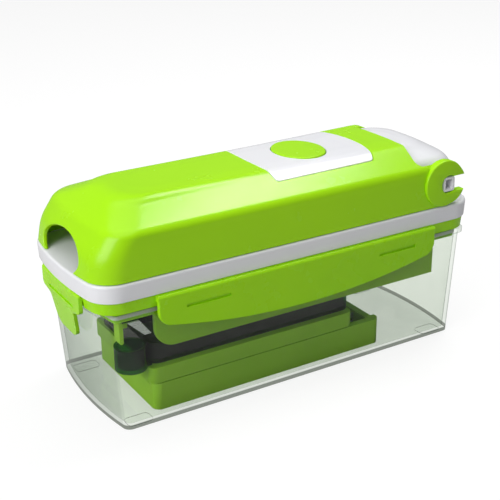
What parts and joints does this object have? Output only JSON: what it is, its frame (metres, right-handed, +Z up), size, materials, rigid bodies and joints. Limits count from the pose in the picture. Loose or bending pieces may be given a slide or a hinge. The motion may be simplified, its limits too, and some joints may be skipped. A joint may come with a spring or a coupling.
{
  "type": "vegetable dicer",
  "caption": "Vegetable dicer: clear storage box with stored inserts, latched lid, white cutting frame with a blade grid, and a hinged lime cover with pusher and button.",
  "frame": {"origin": "centre of the box's underside, on the plane its feet stand on", "axes": "+X along the object from the finger arch to the cover hinge, +Z up, the wide sides face -Y and +Y"},
  "size_m": [0.276, 0.1052, 0.1329],
  "materials": {
    "clear_plastic": "clear, glossy, faint grey-green edges",
    "lime_cover": "glossy moulded",
    "lime_lid": "glossy, slightly translucent",
    "lime_insert": "satin moulded",
    "white_plastic": "glossy moulded",
    "blade_steel": "polished strip",
    "spring_steel": "drawn wire",
    "seal_rubber": "soft, matt, translucent",
    "tinted_clear": "clear, dark green tint"
  },
  "bodies": {
    "box": {"container": "clear_plastic", "storage_lid": "lime_lid", "lid_seal": "seal_rubber", "strip_insert_frame": "lime_insert", "strip_insert_blades": "blade_steel", "wedge_insert_frame": "lime_insert", "wedge_insert_blades": "blade_steel", "food_holder": "tinted_clear", "slicer_frame": "lime_insert", "slicer_blade": "blade_steel", "peeler_blade": "blade_steel", "peeler_handle": "lime_insert"},
    "front_latch": {"front_latch": "lime_lid"},
    "back_latch": {"back_latch": "lime_lid"},
    "arch_end_latch": {"arch_end_latch": "lime_lid"},
    "hinge_end_latch": {"hinge_end_latch": "lime_lid"},
    "cutting_unit": {"base_frame": "white_plastic", "grid_insert_frame": "lime_insert", "grid_blades_lengthwise": "blade_steel", "grid_blades_crosswise": "blade_steel"},
    "cover": {"cover_shell": "lime_cover", "cover_panel": "white_plastic", "pusher_plate": "white_plastic", "button_spring": "spring_steel"},
    "button": {"release_button": "lime_cover"}
  },
  "joints": [
    {"name": "cover_hinge", "type": "hinge", "parent": "cutting_unit", "child": "cover", "pos_m": [0.1112, 0, 0.1078], "axis": [0, 1, 0], "range_deg": [0, 100]},
    {"name": "front_latch_hinge", "type": "hinge", "parent": "box", "child": "front_latch", "pos_m": [0, -0.051, 0.0804], "axis": [-1, 0, 0], "range_deg": [0, 115]},
    {"name": "back_latch_hinge", "type": "hinge", "parent": "box", "child": "back_latch", "pos_m": [0, 0.051, 0.0804], "axis": [1, 0, 0], "range_deg": [0, 115]},
    {"name": "arch_end_latch_hinge", "type": "hinge", "parent": "box", "child": "arch_end_latch", "pos_m": [-0.1352, 0, 0.0804], "axis": [0, 1, 0], "range_deg": [0, 95]},
    {"name": "hinge_end_latch_hinge", "type": "hinge", "parent": "box", "child": "hinge_end_latch", "pos_m": [0.1352, 0, 0.0804], "axis": [0, -1, 0], "range_deg": [0, 95]},
    {"name": "unit_lift", "type": "slide", "parent": "box", "child": "cutting_unit", "axis": [0, 0, 1], "range_m": [0, 0.06]},
    {"name": "button_press", "type": "slide", "parent": "cover", "child": "button", "axis": [0, 0, -1], "range_m": [0, 0.0025], "stiffness_N_per_m": 400, "deforming": ["button_spring"]}
  ]
}
